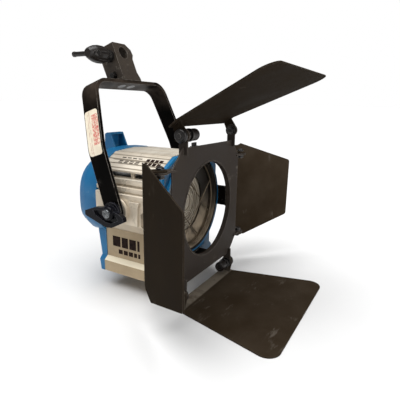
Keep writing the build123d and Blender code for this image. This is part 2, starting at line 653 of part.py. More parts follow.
def top_catch():
    """Sprung catch on the housing roof that holds the lens door shut."""
    x0, x1 = CATCH_X - 5.2, CATCH_X + 5.2
    arm = box(x0, x1, 24.6, 40.5, 71.6, 73.4)
    hook = box(x0, x1, 24.6, 27.4, 67.9, 73.4)
    grip = box(x0, x1, 38.6, 40.5, 71.6, 79)
    eye = rod((x0, 38, 72.4), (x1, 38, 72.4), 2.0)
    return arm + hook + grip + eye - rod((x0 - 4, 38, 72.4), (x1 + 4, 38, 72.4), 1.26)


def catch_base():
    """Riveted saddle and hinge pin of the roof catch."""
    def roof(x):
        return 70 - x * 2.5 / 37
    x0, x1 = CATCH_X - 8.5, CATCH_X + 8.5
    b = prism_y([(x0, roof(x0)), (x1, roof(x1)), (x1, 69.8), (x0, 69.8)], 34, 42)
    for s in (-1, 1):
        xa, xb = sorted((CATCH_X + s * 5.8, CATCH_X + s * 7.6))
        b += box(xa, xb, 34.5, 41.5, 69, 74.4)
    return b + rod((CATCH_X - 7.6, 38, 72.4), (CATCH_X + 7.6, 38, 72.4), 1.2)


# ---------------------------------------------------------------- barn doors
def octagon():
    w, h = PLATE_W, PLATE_H
    return [(w, 60), (62, h), (-62, h), (-w, 60), (-w, -60), (-62, -h), (62, -h), (w, -60)]


def frame_lugs():
    """Eight lugs, two per side, bent square to the plate, with hinge holes."""
    lugs = None
    for s in (-1, 1):
        for a in (-1, 1):
            x0, x1 = sorted((a * 58.6, a * 60.6))
            lug = box(x0, x1, -5.5, 5.5, min(s * 74, s * HINGE_Z), max(s * 74, s * HINGE_Z))
            lug += rod((x0, 0, s * HINGE_Z), (x1, 0, s * HINGE_Z), 8)
            lug -= rod((x0 - 5, 0, s * HINGE_Z), (x1 + 5, 0, s * HINGE_Z), HOLE_R)
            lugs = lug if lugs is None else lugs + lug
            side = box(min(s * 76, s * HINGE_X), max(s * 76, s * HINGE_X), -2.5, 8.5, x0, x1)
            side += rod((s * HINGE_X, HINGE_XY, x0), (s * HINGE_X, HINGE_XY, x1), 8)
            side -= rod((s * HINGE_X, HINGE_XY, x0 - 5), (s * HINGE_X, HINGE_XY, x1 + 5), HOLE_R)
            lugs += side
    return lugs


def door_frame():
    """Folded barn-door plate with a rim round its opening."""
    p = prism_y(octagon(), PLATE_Y0, PLATE_Y1)
    p += rod((0, PLATE_Y0 - 0.6, 0), (0, 3.6, 0), OPEN_R + 1.4)
    p += frame_lugs()
    return p - rod((0, -20, 0), (0, 20, 0), OPEN_R)


def door_disc():
    """Rear disc that turns in the accessory ears."""
    return rod((0, 3.6, 0), (0, 5.0, 0), DISC_R) - rod((0, 0, 0), (0, 9, 0), OPEN_R)


def hinge_axes():
    """Centre of each leaf hinge and its direction along the pin, outwards, and whether it clamps.

    The upper leaf clamps at its left hinge and the lower leaf at its right one."""
    axes = []
    for s in (-1, 1):
        for a in (-1, 1):
            axes.append(((0, 0, s * HINGE_Z), (a, 0, 0), s != a))
            axes.append(((s * HINGE_X, HINGE_XY, 0), (0, 0, a), False))
    return axes


def along(axis, t0, t1, r):
    (x, y, z), (dx, dy, dz), _ = axis
    return rod((x + dx * t0, y + dy * t0, z + dz * t0), (x + dx * t1, y + dy * t1, z + dz * t1), r)


def hinge_screws():
    """Eight hinge screws: two long ones with broad domed heads, six short ones with small heads."""
    screws = []
    for ax in hinge_axes():
        point, direction, clamps = ax
        r, t, start = (7.8, 68.4, 37) if clamps else (4.6, 66.0, 53.4)
        head = along(ax, 63.3, t, r)
        rim = head.edges().filter_by(GeomType.CIRCLE).sort_by(Axis(point, direction))[-1]
        head = fillet(rim, 0.4 * r)
        screws.append(head + along(ax, start, 64, BOLT_R) + along(ax, t - 0.2, t + 0.8, 2.6))
    return Compound(children=screws)


def hinge_collars():
    """Spring collars under the two clamping knobs and plain nuts on the six short screws."""
    collars = []
    for ax in hinge_axes():
        if ax[2]:
            c = along(ax, 48.2, 50.6, 7.4) + along(ax, 50.6, 56.4, 5.0) + along(ax, 56.4, 58.5, 7.0)
        else:
            c = along(ax, 54.0, 57.6, 4.6) + along(ax, 57.6, 58.5, 5.6)
        collars.append(c - along(ax, 40, 60, HOLE_R))
    return Compound(children=collars)


def hinge_knobs():
    """Round black clamping knobs at the inner ends of the two long hinge screws."""
    knobs = []
    for ax in hinge_axes():
        if ax[2]:
            k = along(ax, 35.0, 48.0, 6.9)
            k = fillet(k.edges().filter_by(GeomType.CIRCLE), 2.0)
            k -= along(ax, 34.0, 36.2, 3.6)
            knobs.append(k - along(ax, 36.9, 49, BOLT_R))
    return Compound(children=knobs)


def leaf(inner, outer, length, c, round_r, cut_low, cut_high, place):
    """Folded leaf in its own frame: X along the hinge, Y away from it, Z outwards."""
    b = FOLD_B
    pts = [(-inner + cut_low[0], b), (inner - cut_high[0], b)]
    pts += [(inner, b + cut_high[1])] if cut_high[0] else []
    pts += [(outer, b + length), (-outer, b + length)]
    pts += [(-inner, b + cut_low[1])] if cut_low[0] else []
    sheet = Pos(0, 0, c - SHEET) * extrude(poly(pts), amount=SHEET)
    corners = [e for e in sheet.edges().filter_by(Axis.Z) if e.center().Y > b + length - 1]
    sheet = fillet(corners, round_r)
    strip = [(b + 0.3, c), (b - STRIP_P, c - STRIP_Q), (b - STRIP_P, c - STRIP_Q - SHEET), (b + 0.3, c - SHEET)]
    sheet += prism_x(strip, -inner + cut_low[0], inner - cut_high[0])
    for s in (-1, 1):
        x0, x1 = sorted((s * 60.9, s * 63.0))
        arm = prism_x([(b, c - 0.7), (b - STRIP_P + 0.4, c - STRIP_Q - 0.7), (-7.3, 1.8), (7.5, 0)], x0, x1)
        sheet += arm + rod((x0, 0, 0), (x1, 0, 0), 7.5)
        sheet -= rod((s * 50, 0, 0), (s * 70, 0, 0), HOLE_R)
    return place * sheet


def leaf_places():
    """Rest placement of each leaf: pivot, hinge direction and opening angle."""
    def at(origin, x_dir, fwd, outward, deg):
        f, o = Vector(*fwd), Vector(*outward)
        y_dir = f * cos(radians(deg)) + o * sin(radians(deg))
        z_dir = Vector(*x_dir).cross(y_dir)
        return Plane(origin=origin, x_dir=x_dir, z_dir=z_dir)
    front = (0, -1, 0)
    return {
        "leaf_top": at((0, 0, HINGE_Z), (-1, 0, 0), front, (0, 0, 1), TOP_DEG),
        "leaf_bottom": at((0, 0, -HINGE_Z), (1, 0, 0), front, (0, 0, -1), BOTTOM_DEG),
        "leaf_left": at((-HINGE_X, HINGE_XY, 0), (0, 0, -1), front, (-1, 0, 0), NEAR_DEG),
        "leaf_right": at((HINGE_X, HINGE_XY, 0), (0, 0, 1), front, (1, 0, 0), FAR_DEG),
    }


# --------------------------------------------------------------------- build
SIMPLE = [yoke_bar, clamp_block, clamp_bush, block_bolts, leg_label, pivot_washers, far_bolt, near_stud,
          lock_lever, lever_cap, clamp_shank, clamp_knob, clamp_bar, housing, pivot_bosses, side_gussets,
          side_brackets, bracket_screws, base_box, base_front, base_rear, rear_cover, rear_hood, cover_screws,
          liner, liner_feet, cable_gland, lead_bearing, focus_spindle, focus_knob, carriage, lampholder,
          lamp_pins, lamp_globe, reflector, front_casting, snout_barrel, lens, lens_ring, wire_guard,
          accessory_ears, ear_rivets, door_latch_post, latch_pin, accessory_latch, door_hinge_pin,
          door_hinge_lugs, top_catch, catch_base, door_frame, door_disc, hinge_screws,
          hinge_collars, hinge_knobs]
for make in SIMPLE:
    out(make.__name__, make())
for name, place in leaf_places().items():
    if "top" in name or "bottom" in name:
        out(name, leaf(LONG_IN, LONG_OUT, LONG_L, FOLD_C, 15, (0, 0), (0, 0), place))
    else:
        low, high = (8, 15), (2.5, 5)
        cuts = (high, low) if name == "leaf_left" else (low, high)
        out(name, leaf(SIDE_IN, SIDE_OUT, SIDE_L, SIDE_C, 4.5, cuts[0], cuts[1], place))
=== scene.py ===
import json
import math

import bmesh
import bpy
from mathutils import Matrix, Vector


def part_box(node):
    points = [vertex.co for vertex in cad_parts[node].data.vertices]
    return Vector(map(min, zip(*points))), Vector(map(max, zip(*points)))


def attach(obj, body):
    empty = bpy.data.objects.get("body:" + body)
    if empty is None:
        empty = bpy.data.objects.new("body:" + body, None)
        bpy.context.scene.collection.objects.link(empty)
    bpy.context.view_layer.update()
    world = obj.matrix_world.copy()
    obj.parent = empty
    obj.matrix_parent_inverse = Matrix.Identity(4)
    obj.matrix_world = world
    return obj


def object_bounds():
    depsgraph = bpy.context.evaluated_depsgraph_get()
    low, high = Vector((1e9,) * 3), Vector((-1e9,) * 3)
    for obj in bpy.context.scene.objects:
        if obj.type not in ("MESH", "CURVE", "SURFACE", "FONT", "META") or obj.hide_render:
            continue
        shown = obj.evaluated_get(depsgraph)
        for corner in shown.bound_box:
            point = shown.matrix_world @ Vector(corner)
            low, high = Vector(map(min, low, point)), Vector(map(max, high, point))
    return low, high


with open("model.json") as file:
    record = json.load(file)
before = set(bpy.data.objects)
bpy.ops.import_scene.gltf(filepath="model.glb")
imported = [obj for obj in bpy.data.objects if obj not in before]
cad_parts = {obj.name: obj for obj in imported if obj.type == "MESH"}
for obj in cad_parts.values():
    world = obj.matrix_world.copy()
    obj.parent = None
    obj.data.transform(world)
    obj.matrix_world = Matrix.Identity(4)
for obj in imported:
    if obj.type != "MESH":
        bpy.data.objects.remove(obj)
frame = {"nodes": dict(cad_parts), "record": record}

CAD_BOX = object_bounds()
NODES = frame["nodes"]
scene = bpy.context.scene
LEAN = math.radians(18.3)            # the stirrup leans back by this from vertical
ROOF_PITCH = 0.007                   # distance between the grooves of the roof
GLOSS_SPREAD = 0.12                  # roughness varies by this to either side
LENS_RINGS = 92.0                    # wave scale that gives the lens its ridges
SNOUT_EDGE = 0.0622                  # the lens door is painted black inside this radius, as shade round the snout
LEAF_FOLD = 0.0158                   # the lowest leaf's fold lies this far before the plate's rear
BASE_SIDE = 0.06                     # X of the base's side panels
PRINT_THICK = 0.00008                # printed marks stand proud by this
CREASE = math.radians(32)            # sharper folds than this stay crisp
FLOOR_GAP = 0.0002                   # the floor lies this far below the lowest point
FLOOR_REACH = 90.0                   # half of the floor's width
SKY_ON_PART, SKY_IN_VIEW = 0.16, 1.0  # the backdrop's strength as light and as seen
SENSOR_WIDTH = 36.0                  # millimetres, goes with the camera's focal length


# ---------------------------------------------------------------------- camera
def look_from(position, azimuth, elevation, roll, lens):
    """Camera at a point, looking along a compass direction, tilted and rolled."""
    a, e, r = (math.radians(v) for v in (azimuth, elevation, roll))
    back = Vector((math.sin(a) * math.cos(e), -math.cos(a) * math.cos(e), math.sin(e)))
    right = Vector((math.cos(a), math.sin(a), 0))
    up = back.cross(right)
    x = right * math.cos(r) + up * math.sin(r)
    y = back.cross(x)
    cam = bpy.data.objects.new("camera", bpy.data.cameras.new("camera"))
    scene.collection.objects.link(cam)
    cam.matrix_world = Matrix(((x.x, y.x, back.x, position[0]), (x.y, y.y, back.y, position[1]),
                               (x.z, y.z, back.z, position[2]), (0, 0, 0, 1)))
    cam.data.lens, cam.data.sensor_width = lens, SENSOR_WIDTH
    cam.data.clip_start = 0.01
    scene.camera = cam


look_from(position=(-0.40751, -0.36719, -0.06096), azimuth=-59.93, elevation=14.31, roll=0.95, lens=33.87)


# ------------------------------------------------------------------- materials
class Graph:
    """A material's node tree, with short calls for the nodes used here."""

    def __init__(self, name):
        self.name = name
        self.mat = bpy.data.materials.new(name)
        self.mat.use_nodes = True
        self.tree = self.mat.node_tree
        self.shader = self.tree.nodes["Principled BSDF"]

    def node(self, kind, **props):
        """A new shader node with its settings."""
        n = self.tree.nodes.new("ShaderNode" + kind)
        for k, v in props.items():
            setattr(n, k, v)
        return n

    def feed(self, socket, value):
        """Links an output to a socket, or sets the socket to a constant."""
        if hasattr(value, "is_output"):
            self.tree.links.new(value, socket)
        else:
            socket.default_value = value

    def coords(self, scale=(1, 1, 1), tilt=0.0):
        """The place on the object, stretched by a scale and turned about X."""
        m = self.node("Mapping")
        m.inputs["Scale"].default_value = scale
        m.inputs["Rotation"].default_value = (tilt, 0, 0)
        self.feed(m.inputs["Vector"], self.node("TexCoord").outputs["Object"])
        return m.outputs["Vector"]

    def noise(self, scale, detail=4.0, rough=0.55, vector=None, lo=0.35, hi=0.65):
        """Blotches from 0 to 1, harder the closer lo and hi are."""
        n = self.node("TexNoise")
        n.inputs["Scale"].default_value = scale
        n.inputs["Detail"].default_value = detail
        n.inputs["Roughness"].default_value = rough
        self.feed(n.inputs["Vector"], vector or self.coords())
        return self.ramp(n.outputs["Fac"], lo, hi)

    def ramp(self, value, lo, hi, to_lo=0.0, to_hi=1.0):
        """Stretches lo..hi to to_lo..to_hi and stays within them."""
        r = self.node("MapRange", clamp=True)
        for key, v in (("Value", value), ("From Min", lo), ("From Max", hi),
                       ("To Min", to_lo), ("To Max", to_hi)):
            self.feed(r.inputs[key], v)
        return r.outputs["Result"]

    def math(self, op, a, b=0.0):
        m = self.node("Math", operation=op)
        self.feed(m.inputs[0], a)
        self.feed(m.inputs[1], b)
        return m.outputs["Value"]

    def both(self, a, b):
        """The product of two masks."""
        return self.math("MULTIPLY", a, b)

    def mix(self, fac, a, b):
        """Colour a where fac is 0, colour b where it is 1."""
        m = self.node("Mix", data_type="RGBA")
        self.feed(m.inputs[0], fac)
        self.feed(m.inputs[6], a if hasattr(a, "is_output") else (*a, 1))
        self.feed(m.inputs[7], b if hasattr(b, "is_output") else (*b, 1))
        return m.outputs[2]

    def over(self, mask, colour):
        """Lays a colour over the base colour where the mask is 1."""
        base = self.shader.inputs["Base Color"]
        self.feed(base, self.mix(mask, base.links[0].from_socket, colour))

    def axes(self, vector=None):
        """X, Y and Z of a vector, by default of the place on the object."""
        split = self.node("SeparateXYZ")
        self.feed(split.inputs[0], vector or self.coords())
        return split.outputs["X"], split.outputs["Y"], split.outputs["Z"]

    def facing_up(self, lo, hi):
        """0 where the face normal's Z is below lo, 1 above hi."""
        return self.ramp(self.axes(self.node("NewGeometry").outputs["True Normal"])[2], lo, hi)

    def edges(self, radius, lo=0.02, hi=0.25):
        """About 1 on sharp edges and 0 on flat faces."""
        bev = self.node("Bevel", samples=6)
        bev.inputs["Radius"].default_value = radius
        dot = self.node("VectorMath", operation="DOT_PRODUCT")
        self.feed(dot.inputs[0], bev.outputs["Normal"])
        self.feed(dot.inputs[1], self.node("NewGeometry").outputs["Normal"])
        return self.ramp(self.math("SUBTRACT", 1.0, dot.outputs["Value"]), lo, hi)

    def bump(self, height, distance, strength=1.0):
        """Adds relief on top of the relief that is there."""
        b = self.node("Bump")
        b.inputs["Distance"].default_value = distance
        b.inputs["Strength"].default_value = strength
        self.feed(b.inputs["Height"], height)
        prior = self.shader.inputs["Normal"]
        if prior.is_linked:
            self.feed(b.inputs["Normal"], prior.links[0].from_socket)
        self.feed(prior, b.outputs["Normal"])


def finish_of(name, base, rough, other=None, mottle=35.0, wear=None, wear_amount=0.0,
              wear_scale=(60, 60, 60), edge=None, edge_width=0.0009, grain=900.0,
              grain_depth=0.00004, metallic=0.0, specular=0.3, coat=0.0):
    """Paint, metal or plastic: mottled colour, blotchy gloss, fine grain, scuffs and rubbed edges; on some
    finishes the edge colour also paints a highlight.
    """
    g = Graph(name)
    blotch = g.noise(mottle, 6.0)
    colour = g.mix(blotch, base, other or tuple(c * 0.8 for c in base))
    gloss = g.ramp(blotch, 0, 1, rough - GLOSS_SPREAD, rough + GLOSS_SPREAD)
    if wear:
        streak = g.noise(1.0, 9.0, 0.7, vector=g.coords(wear_scale),
                         lo=0.62 - wear_amount, hi=0.70 - wear_amount)
        patch = g.noise(18.0, 3.0, 0.5, lo=0.45, hi=0.62)
        mask = g.both(g.both(streak, patch), 0.7)
        colour = g.mix(mask, colour, wear)
        gloss = g.math("ADD", gloss, g.both(mask, 0.15))
    if edge:
        edge_rub_and_highlight = g.both(g.edges(edge_width), g.noise(140.0, 5.0, 0.6, lo=0.32, hi=0.55))
        colour = g.mix(edge_rub_and_highlight, colour, edge)
    g.feed(g.shader.inputs["Base Color"], colour)
    g.feed(g.shader.inputs["Roughness"], gloss)
    g.shader.inputs["Metallic"].default_value = metallic
    g.shader.inputs["Specular IOR Level"].default_value = specular
    g.shader.inputs["Coat Weight"].default_value = coat
    g.bump(g.noise(grain, 3.0, 0.6, lo=0.2, hi=0.8), grain_depth)
    return g


def brushed(name, base, rough):
    """Turned or drawn metal with fine lines along X."""
    g = Graph(name)
    lines = g.noise(1.0, 4.0, 0.6, vector=g.coords((60, 1500, 1500)), lo=0.3, hi=0.7)
    stain = g.noise(45.0, 5.0)
    g.feed(g.shader.inputs["Base Color"], g.mix(g.both(stain, 0.6), base, tuple(c * 0.55 for c in base)))
    g.feed(g.shader.inputs["Roughness"], g.ramp(lines, 0, 1, rough - 0.1, rough + 0.12))
    g.shader.inputs["Metallic"].default_value = 1.0
    g.bump(lines, 0.00002)
    return g


def door_paint(name, painted_light_gain, scuffs=0.03):
    """Matt black-brown sheet paint; a gain paints light onto the leaves that face the lamps, so some leaves
    are painted lighter than others.
    """
    return finish_of(name, (0.0150 * painted_light_gain, 0.0103 * painted_light_gain, 0.0062 * painted_light_gain), 0.74,
                     other=(0.022 * painted_light_gain, 0.0163 * painted_light_gain, 0.0110 * painted_light_gain), mottle=22.0,
                     wear=(0.085, 0.072, 0.058), wear_amount=scuffs, wear_scale=(25, 90, 25),
                     edge=(0.075, 0.064, 0.052), edge_width=0.0008, grain=700.0, grain_depth=0.00005,
                     specular=0.012)


def bottom_paint():
    """The lowest leaf's paint, a lighter copy as painted light where it lies facing up, rubbed pale along
    the bent strip behind its fold.
    """
    g = door_paint("bottom_paint", 1.55, 0.05)
    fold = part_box("door_frame")[1][1] - LEAF_FOLD
    strip = g.ramp(g.axes()[1], fold - 0.001, fold + 0.001)
    g.over(g.both(strip, g.noise(55.0, 6.0, 0.6, lo=0.2, hi=0.5)), (0.125, 0.105, 0.082))
    return g


def plate_paint():
    """Greyer, more rubbed paint of the barn-door plate."""
    return finish_of("plate_paint", (0.030, 0.0235, 0.0195), 0.6, other=(0.040, 0.032, 0.026), mottle=26.0,
                     wear=(0.14, 0.12, 0.10), wear_amount=0.05, wear_scale=(30, 30, 80),
                     edge=(0.16, 0.14, 0.12), edge_width=0.0010, grain=700.0, grain_depth=0.00005,
                     specular=0.08)


def black_paint(name="black_paint"):
    """Deep black enamel with rubbed edges, pale enough to be a painted highlight along them too."""
    return finish_of(name, (0.0012, 0.0010, 0.0009), 0.42, other=(0.0040, 0.0032, 0.0026), mottle=28.0,
                     wear=(0.06, 0.055, 0.05), wear_amount=0.02, wear_scale=(80, 40, 40),
                     # the pale edge colour is rubbed paint and also a painted highlight on the edges
                     edge=(0.30, 0.27, 0.24), edge_width=0.0014, grain=800.0, grain_depth=0.00004,
                     specular=0.02)


def yoke_paint():
    """The stirrup's black paint, with a painted brownish highlight along its upper bend."""
    g = black_paint("yoke_paint")
    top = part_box("yoke_bar")[1][2]
    bend_highlight = g.ramp(g.axes()[2], top - 0.042, top - 0.012)
    # painted highlight: brown laid over the upper bend of the stirrup
    g.over(g.both(bend_highlight, g.noise(38.0, 5.0, 0.6, lo=0.3, hi=0.62)), (0.045, 0.034, 0.026))
    return g


def blue_paint(name="blue_paint"):
    """Textured blue paint of the castings."""
    return finish_of(name, (0.012, 0.165, 0.365), 0.38, other=(0.008, 0.115, 0.270), mottle=18.0,
                     wear=(0.07, 0.19, 0.30), wear_amount=0.02, wear_scale=(60, 60, 60),
                     edge=(0.16, 0.33, 0.44), edge_width=0.0010, grain=420.0, grain_depth=0.00010,
                     specular=0.3, coat=0.05)


def silver_paint():
    """Warm aluminium housing where it faces up: painted shade in the grooves and painted highlights on the
    ridges.
    """
    g = finish_of("silver_paint", (0.72, 0.63, 0.50), 0.38, other=(0.60, 0.52, 0.41), mottle=24.0,
                  wear=(0.30, 0.25, 0.19), wear_amount=0.05, wear_scale=(22, 60, 60),
                  edge=(0.72, 0.68, 0.60), edge_width=0.0008, grain=1100.0, grain_depth=0.00003,
                  metallic=0.35, specular=0.4)
    g.bump(g.noise(1.0, 3.0, 0.6, vector=g.coords((600, 14, 600)), lo=0.3, hi=0.7), 0.00003)
    from_groove = g.math("PINGPONG", g.axes()[0], ROOF_PITCH / 2)
    # painted shade: dark colour in the grooves of the faces that look up
    groove_shade = g.both(g.ramp(from_groove, 0.0012, 0.0005), g.facing_up(0.35, 0.6))
    streak = g.noise(1.0, 4.0, 0.6, vector=g.coords((110, 9, 110)), lo=0.30, hi=0.62)
    g.over(g.both(groove_shade, g.ramp(streak, 0, 1, 0.35, 0.95)), (0.13, 0.095, 0.065))
    # painted highlight: near-white on the ridges that face up
    ridge_highlight = g.both(g.math("SUBTRACT", 1.0, groove_shade), g.facing_up(0.6, 0.95))
    g.over(g.both(ridge_highlight, g.ramp(streak, 0, 1, 0.0, 0.7)), (0.98, 0.93, 0.82))
    return g


def bracket_shade_paint():
    """The housing's side brackets, painted dark brown as the shade they sit in."""
    return finish_of("bracket_shade_paint", (0.36, 0.29, 0.205), 0.42, other=(0.15, 0.115, 0.078), mottle=45.0,
                     wear=(0.10, 0.08, 0.06), wear_amount=0.05, wear_scale=(40, 40, 40),
                     edge=(0.62, 0.55, 0.44), edge_width=0.0009, grain=1000.0, grain_depth=0.00003,
                     metallic=0.2, specular=0.35)


def casting_paint():
    """Blue outside and on its rim, painted black round the snout as the shade inside it."""
    g = blue_paint("casting_paint")
    low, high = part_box("snout_barrel")
    x, _, z = g.axes()
    across = g.math("SUBTRACT", x, (low[0] + high[0]) / 2)
    up = g.math("SUBTRACT", z, (low[2] + high[2]) / 2)
    radius = g.math("SQRT", g.math("ADD", g.both(across, across), g.both(up, up)))
    # painted shade: near-black inside the snout's radius
    g.over(g.ramp(radius, SNOUT_EDGE + 0.001, SNOUT_EDGE), (0.010, 0.009, 0.008))
    return g


def panel_paint():
    """Beige panel paint, with painted light making it paler where a face looks up."""
    g = finish_of("panel_paint", (0.455, 0.352, 0.220), 0.5, other=(0.385, 0.295, 0.183), mottle=30.0,
                  wear=(0.20, 0.165, 0.12), wear_amount=0.04, wear_scale=(50, 25, 50),
                  edge=(0.56, 0.49, 0.38), edge_width=0.0008, grain=900.0, grain_depth=0.00004,
                  metallic=0.1, specular=0.35)
    # painted light: faces that look up are made pale
    g.over(g.facing_up(0.30, 0.75), (0.95, 0.86, 0.66))
    return g


def socket_metal():
    """Dark brown cast metal of the spigot block."""
    return finish_of("socket_metal", (0.060, 0.047, 0.036), 0.46, other=(0.042, 0.033, 0.026), mottle=60.0,
                     wear=(0.20, 0.18, 0.15), wear_amount=0.05, wear_scale=(70, 70, 70),
                     edge=(0.34, 0.31, 0.27), edge_width=0.0009, grain=500.0, grain_depth=0.0001,
                     metallic=0.2, specular=0.25)


def barrel_paint():
    """Black inside the snout, with painted light turning it brown towards its underside."""
    g = finish_of("barrel_paint", (0.012, 0.010, 0.008), 0.55, other=(0.022, 0.017, 0.012), mottle=30.0,
                  specular=0.35)
    low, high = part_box("snout_barrel")
    middle = (low[2] + high[2]) / 2
    underside_light = g.ramp(g.axes()[2], middle + 0.006, low[2] + 0.02)
    # painted light: pale brown on the lower inside of the snout, where light falls in
    g.over(g.both(underside_light, g.noise(50.0, 5.0, 0.6, lo=0.2, hi=0.6)), (0.34, 0.27, 0.19))
    return g


def lens_glass():
    """Moulded glass with concentric ridges round the lens axis, their steps painted pale as reflections."""
    g = Graph("lens_glass")
    s = g.shader
    g.feed(s.inputs["Roughness"], g.ramp(g.noise(60.0, 2.0), 0, 1, 0.16, 0.30))
    s.inputs["Transmission Weight"].default_value = 0.2
    s.inputs["IOR"].default_value = 1.47
    s.inputs["Specular IOR Level"].default_value = 0.6
    low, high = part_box("lens")
    centred = g.node("Mapping")
    centred.inputs["Location"].default_value = (0, 0, -(low[2] + high[2]) / 2)
    g.feed(centred.inputs["Vector"], g.node("TexCoord").outputs["Object"])
    flat = g.node("Mapping")
    flat.inputs["Scale"].default_value = (1, 0, 1)
    g.feed(flat.inputs["Vector"], centred.outputs["Vector"])
    ring = g.node("TexWave", wave_type="RINGS", rings_direction="SPHERICAL", wave_profile="SAW")
    ring.inputs["Scale"].default_value = LENS_RINGS
    g.feed(ring.inputs["Vector"], flat.outputs["Vector"])
    # painted reflection: a pale colour on the steep side of each ring
    step_reflection = g.ramp(ring.outputs["Fac"], 0.55, 0.95)
    g.feed(s.inputs["Base Color"], g.mix(step_reflection, (0.30, 0.255, 0.195), (0.72, 0.66, 0.55)))
    g.bump(ring.outputs["Fac"], 0.0006, 0.8)
    return g


def clear_glass():
    """Clear quartz of the lamp globe."""
    g = Graph("clear_glass")
    s = g.shader
    s.inputs["Base Color"].default_value = (0.95, 0.96, 0.95, 1)
    g.feed(s.inputs["Roughness"], g.ramp(g.noise(120.0), 0, 1, 0.03, 0.12))
    s.inputs["Transmission Weight"].default_value = 0.95
    s.inputs["IOR"].default_value = 1.46
    return g


def mirror():
    """Polished reflector, slightly tarnished."""
    g = Graph("mirror")
    g.shader.inputs["Metallic"].default_value = 1.0
    g.feed(g.shader.inputs["Base Color"], g.mix(g.noise(60.0), (0.86, 0.86, 0.85), (0.72, 0.71, 0.69)))
    g.feed(g.shader.inputs["Roughness"], g.ramp(g.noise(300.0), 0, 1, 0.08, 0.2))
    return g


def label():
    """Worn cream paper with a loose red block beside fine broken lines, all generic."""
    g = Graph("label")
    _, across, along = g.axes(g.coords((1, 1, 1), LEAN))    # over and along the leaning leg

    def band(value, low, high):
        """1 between two values."""
        return g.both(g.math("GREATER_THAN", value, low), g.math("LESS_THAN", value, high))

    rows = g.math("GREATER_THAN", g.math("PINGPONG", across, 0.0013), 0.0007)
    ragged = g.noise(1.0, 3.0, 0.6, vector=g.coords((300, 300, 160)), lo=0.46, hi=0.50)
    lines = g.both(g.both(rows, band(across, 0.0022, 0.0078)), g.both(ragged, 0.5))
    block = g.both(band(across, -0.0100, 0.0004), band(along, -0.116, -0.080))
    red = g.both(block, g.noise(1.0, 5.0, 0.8, vector=g.coords((520, 520, 420)), lo=0.44, hi=0.54))
    paper = g.mix(g.noise(90.0, 5.0), (0.92, 0.83, 0.66), (0.80, 0.70, 0.54))
    g.feed(g.shader.inputs["Base Color"], g.mix(lines, paper, (0.42, 0.17, 0.13)))
    g.over(g.both(red, 0.9), (0.62, 0.055, 0.05))
    g.feed(g.shader.inputs["Roughness"], g.ramp(g.noise(200.0), 0, 1, 0.45, 0.65))
    g.bump(g.noise(700.0, 3.0), 0.00003)
    return g


MATERIALS = {g.name: g for g in (
    # the far and lowest leaves get lighter copies of the door paint as painted light
    door_paint("door_paint", 1.0), door_paint("far_leaf_lit_paint", 1.95), bottom_paint(), plate_paint(),
    black_paint(), yoke_paint(), blue_paint(), casting_paint(), silver_paint(), bracket_shade_paint(),
    panel_paint(), socket_metal(), barrel_paint(), lens_glass(), clear_glass(), mirror(), label(),
    brushed("steel", (0.42, 0.41, 0.40), 0.33),
    brushed("raw_aluminium", (0.6, 0.6, 0.6), 0.4),
    brushed("brass", (0.62, 0.42, 0.18), 0.35),
    finish_of("dark_steel", (0.020, 0.018, 0.017), 0.36, edge=(0.30, 0.28, 0.26), edge_width=0.0007,
              metallic=0.5, specular=0.5),
    finish_of("knob_plastic", (0.012, 0.009, 0.0075), 0.42, edge=(0.13, 0.11, 0.09), edge_width=0.0007,
              specular=0.35),
    # lever: the pale edge colour is a painted highlight on its rim
    finish_of("lever_plastic", (0.003, 0.003, 0.0045), 0.3, other=(0.006, 0.006, 0.009), mottle=50.0,
              edge=(0.17, 0.17, 0.19), edge_width=0.0006, specular=0.12),
    # hub: the near-white edge colour is a painted highlight round its rim
    finish_of("hub_metal", (0.20, 0.21, 0.22), 0.2, other=(0.05, 0.055, 0.06), mottle=90.0,
              edge=(0.6, 0.6, 0.6), edge_width=0.0008, specular=0.5, metallic=0.7),
    finish_of("guard_wire", (0.10, 0.075, 0.05), 0.45, other=(0.20, 0.16, 0.11), mottle=90.0, metallic=0.5),
    finish_of("black_plastic", (0.010, 0.010, 0.010), 0.5),
    finish_of("fibre", (0.22, 0.19, 0.15), 0.7, specular=0.2),
    finish_of("ceramic", (0.72, 0.69, 0.62), 0.3, specular=0.5),
    finish_of("print", (0.010, 0.005, 0.004), 0.5, other=(0.035, 0.020, 0.015), mottle=220.0,
              specular=0.04),
)}
# nodes whose paint is not the one named by their material slot
REPAINT = {"door_frame": "plate_paint", "leaf_right": "far_leaf_lit_paint", "leaf_bottom": "bottom_paint",
           "base_box": "panel_paint", "base_front": "blue_paint", "side_brackets": "bracket_shade_paint",
           "wire_guard": "guard_wire", "lever_cap": "hub_metal", "front_casting": "casting_paint",
           "yoke_bar": "yoke_paint"}


def soften_shading(obj):
    """Joined vertices, crisp creases, smooth curved faces."""
    weld = obj.modifiers.new("weld", "WELD")
    weld.merge_threshold = 0.00001
    split = obj.modifiers.new("creases", "EDGE_SPLIT")
    split.split_angle = CREASE
    for p in obj.data.polygons:
        p.use_smooth = True


for entry in frame["record"]["subparts"]:
    obj = NODES[entry["node"]]
    finish = REPAINT.get(entry["node"], entry["material_slot"])
    obj.data.materials.clear()
    obj.data.materials.append(MATERIALS[finish].mat)
    soften_shading(obj)


# ----------------------------------------------------------------- added pieces
def mesh_piece(name, build, material, body):
    """A new mesh that rides on a body."""
    bm = bmesh.new()
    build(bm)
    bmesh.ops.recalc_face_normals(bm, faces=bm.faces)
    mesh = bpy.data.meshes.new(name)
    bm.to_mesh(mesh)
    bm.free()
    obj = bpy.data.objects.new(name, mesh)
    scene.collection.objects.link(obj)
    obj.data.materials.append(MATERIALS[material].mat)
    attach(obj, body)


